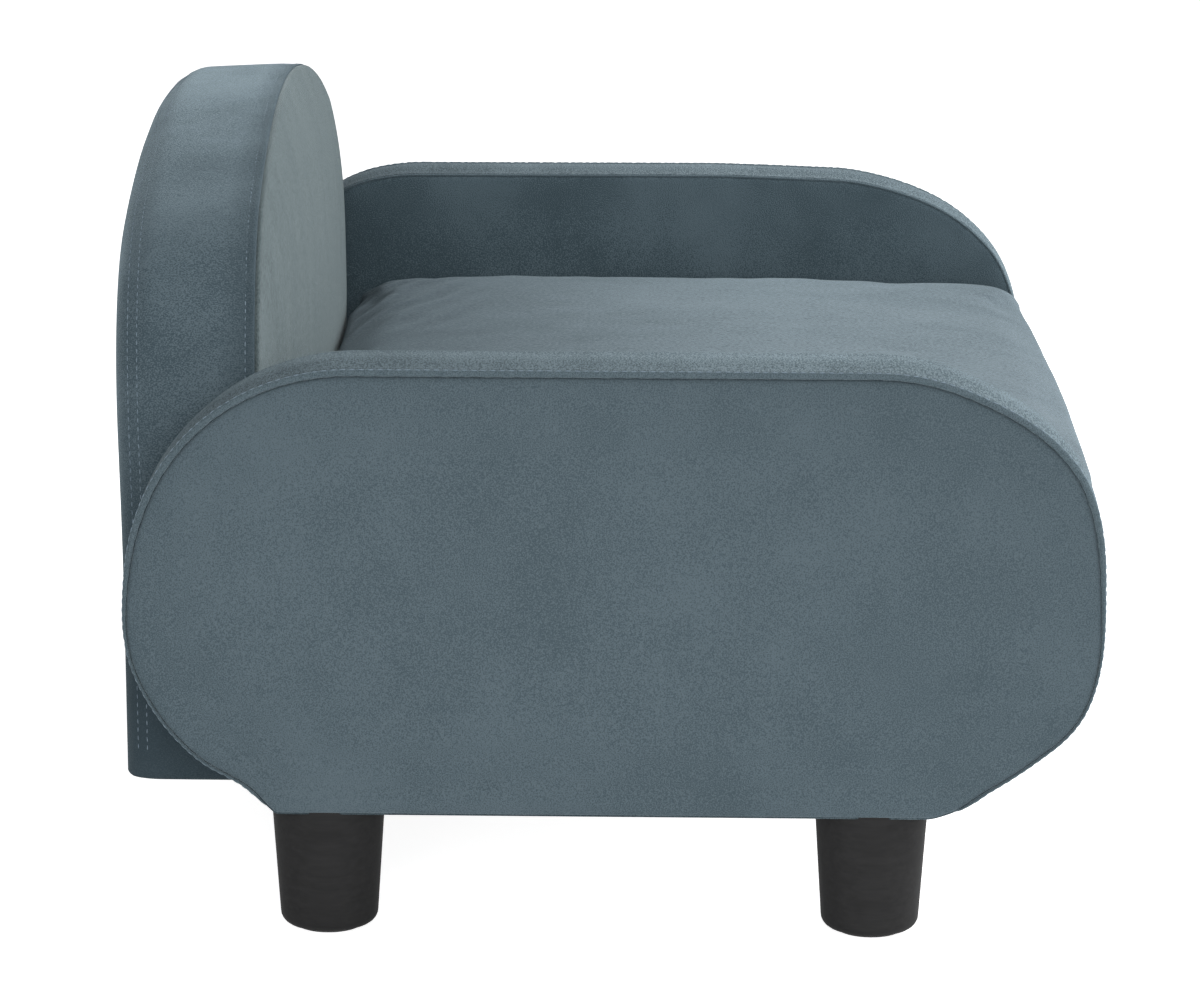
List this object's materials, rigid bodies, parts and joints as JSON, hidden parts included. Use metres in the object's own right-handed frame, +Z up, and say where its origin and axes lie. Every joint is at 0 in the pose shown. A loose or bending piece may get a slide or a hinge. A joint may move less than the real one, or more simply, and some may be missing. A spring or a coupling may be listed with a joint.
{
  "type": "dog sofa bed",
  "caption": "Raised pet sofa with capsule-shaped upholstered arms, a tall arched back, a loose crowned cushion and tapered round legs.",
  "frame": {"origin": "on the floor, under the middle of the sofa's outer box", "axes": "+X across the sofa towards its right arm as seen from the front, -Y towards the front, +Z up"},
  "size_m": [0.7006, 0.4924, 0.393],
  "materials": {
    "velvet": "matte",
    "foam": "matte",
    "plywood": "matte",
    "softwood": "matte",
    "hardboard": "matte",
    "leg_black": "satin",
    "glide_plastic": "matte",
    "dust_cloth": "matte",
    "zip_cloth": "matte",
    "zinc": "satin"
  },
  "bodies": {
    "sofa": {"left_arm_outer_cover": "velvet", "left_arm_inner_cover": "velvet", "left_arm_gusset": "velvet", "left_arm_welts": "velvet", "left_arm_outer_pad": "foam", "left_arm_inner_pad": "foam", "left_arm_edge_pad": "foam", "left_arm_outer_board": "plywood", "left_arm_inner_board": "plywood", "left_arm_edge_strip": "hardboard", "left_arm_frame": "softwood", "left_arm_leg_rail": "softwood", "right_arm_outer_cover": "velvet", "right_arm_inner_cover": "velvet", "right_arm_gusset": "velvet", "right_arm_welts": "velvet", "right_arm_outer_pad": "foam", "right_arm_inner_pad": "foam", "right_arm_edge_pad": "foam", "right_arm_outer_board": "plywood", "right_arm_inner_board": "plywood", "right_arm_edge_strip": "hardboard", "right_arm_frame": "softwood", "right_arm_leg_rail": "softwood", "front_left_leg": "leg_black", "front_right_leg": "leg_black", "rear_left_leg": "leg_black", "rear_right_leg": "leg_black", "leg_glides": "glide_plastic", "leg_studs": "zinc", "leg_tnuts": "zinc", "back_front_cover": "velvet", "back_gusset": "velvet", "back_rear_cover": "velvet", "back_front_pad": "foam", "back_edge_pad": "foam", "back_rear_pad": "foam", "back_front_board": "plywood", "back_rear_board": "plywood", "back_edge_strip": "hardboard", "back_frame": "softwood", "base_cover": "velvet", "base_pad": "foam", "base_deck": "plywood", "base_front_rail": "softwood", "base_rear_rail": "softwood", "base_side_rails": "softwood", "base_battens": "softwood", "base_dust_cover": "dust_cloth", "arm_bolts": "zinc", "back_bolts": "zinc", "frame_washers": "zinc", "frame_tnuts": "zinc"},
    "cushion": {"cushion_cover": "velvet", "cushion_foam": "foam", "zip_tape": "zip_cloth", "zip_coil": "zip_cloth"},
    "zip_slider": {"zip_slider": "zinc"},
    "zip_pull": {"zip_pull": "zinc"}
  },
  "joints": [
    {"name": "cushion_lift", "type": "slide", "parent": "sofa", "child": "cushion", "axis": [0, 0, 1], "range_m": [0, 0.24]},
    {"name": "zip_slide", "type": "slide", "parent": "cushion", "child": "zip_slider", "axis": [1, 0, 0], "range_m": [0, 0.335]},
    {"name": "zip_pull_hinge", "type": "hinge", "parent": "zip_slider", "child": "zip_pull", "pos_m": [-0.1728, 0.16187, 0.1928], "axis": [0, 0, 1], "range_deg": [0, 30]}
  ]
}
